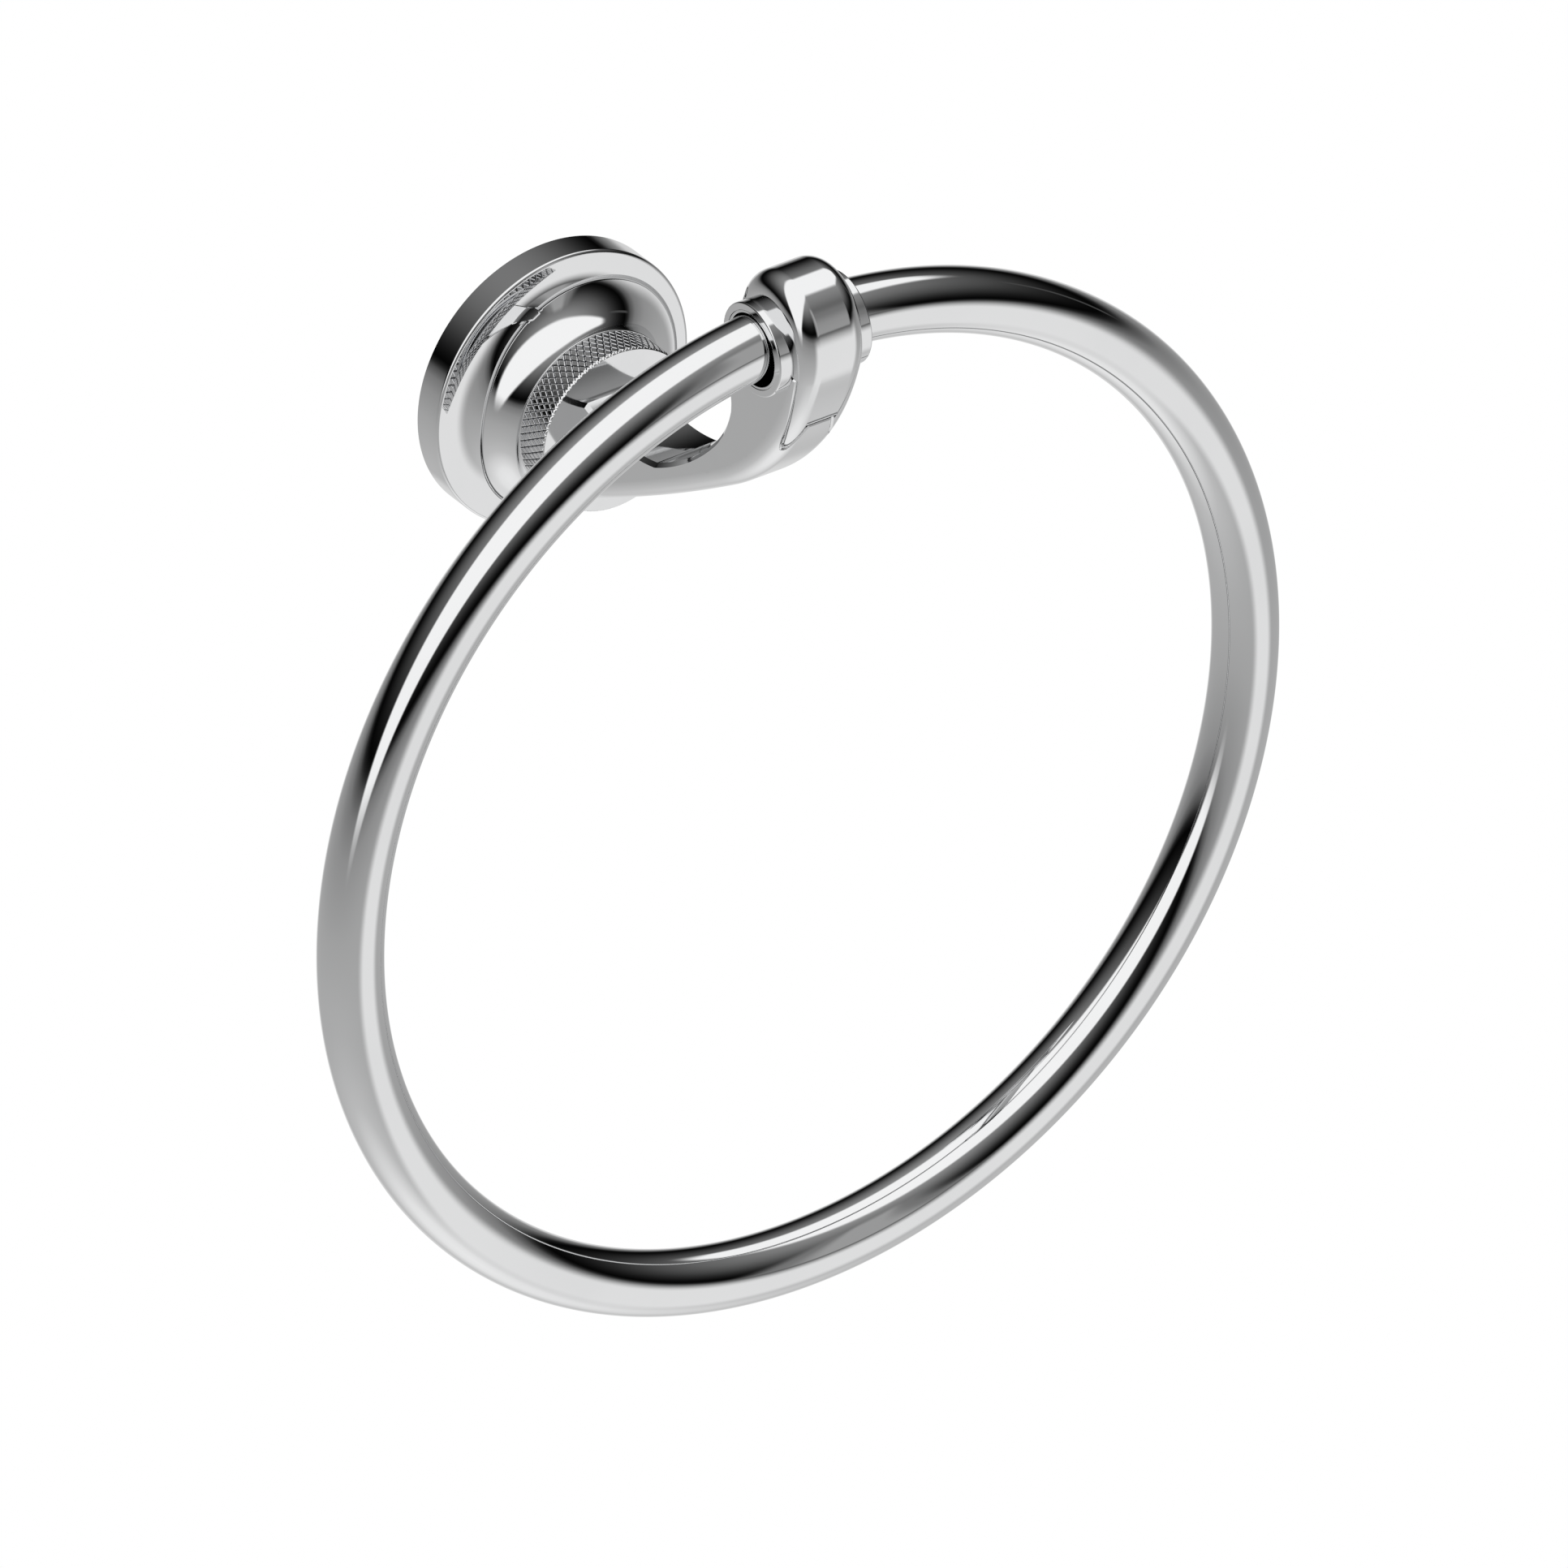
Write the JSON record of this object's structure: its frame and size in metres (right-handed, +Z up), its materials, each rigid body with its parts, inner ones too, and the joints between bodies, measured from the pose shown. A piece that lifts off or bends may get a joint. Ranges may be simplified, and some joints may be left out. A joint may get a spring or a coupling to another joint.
{
  "type": "towel ring",
  "caption": "Wall towel ring: a polished tube ring swings in the eye of a hooked arm on a round flange that sweeps up to a knurled collar.",
  "frame": {"origin": "centre of the flange's back face, on the wall", "axes": "+Z up, +X to the right facing the wall, +Y into the wall, so the towel ring projects towards -Y"},
  "size_m": [0.189, 0.0837, 0.1956],
  "materials": {
    "chrome_plate": "polished chrome plate",
    "chrome_tube": "polished chrome tube",
    "knurled_chrome": "chrome plate over diamond knurling",
    "liner_chrome": "chrome plated liner",
    "bracket_steel": "zinc plated, dull",
    "screw_steel": "stainless, turned",
    "pin_steel": "ground steel",
    "bolt_steel": "zinc plated",
    "spring_steel": "dark spring steel"
  },
  "bodies": {
    "wall_part": {"wall_flange": "chrome_plate", "wall_bracket": "bracket_steel", "flange_set_screw": "screw_steel", "knurled_collar": "knurled_chrome", "arm_pin": "pin_steel", "draw_bolt": "bolt_steel", "plain_washer": "bolt_steel", "spring_washer": "spring_steel", "arm": "chrome_plate", "eye_cap": "chrome_plate", "cap_dowel_left": "pin_steel", "cap_dowel_right": "pin_steel", "bush_left": "chrome_plate", "bush_right": "chrome_plate", "liner_left": "liner_chrome", "liner_right": "liner_chrome"},
    "ring_part": {"ring": "chrome_tube"}
  },
  "joints": [
    {"name": "ring_swing", "type": "hinge", "parent": "wall_part", "child": "ring_part", "pos_m": [0, -0.0723, 0.04485], "axis": [1, 0, 0], "range_deg": [-155, 21]}
  ]
}
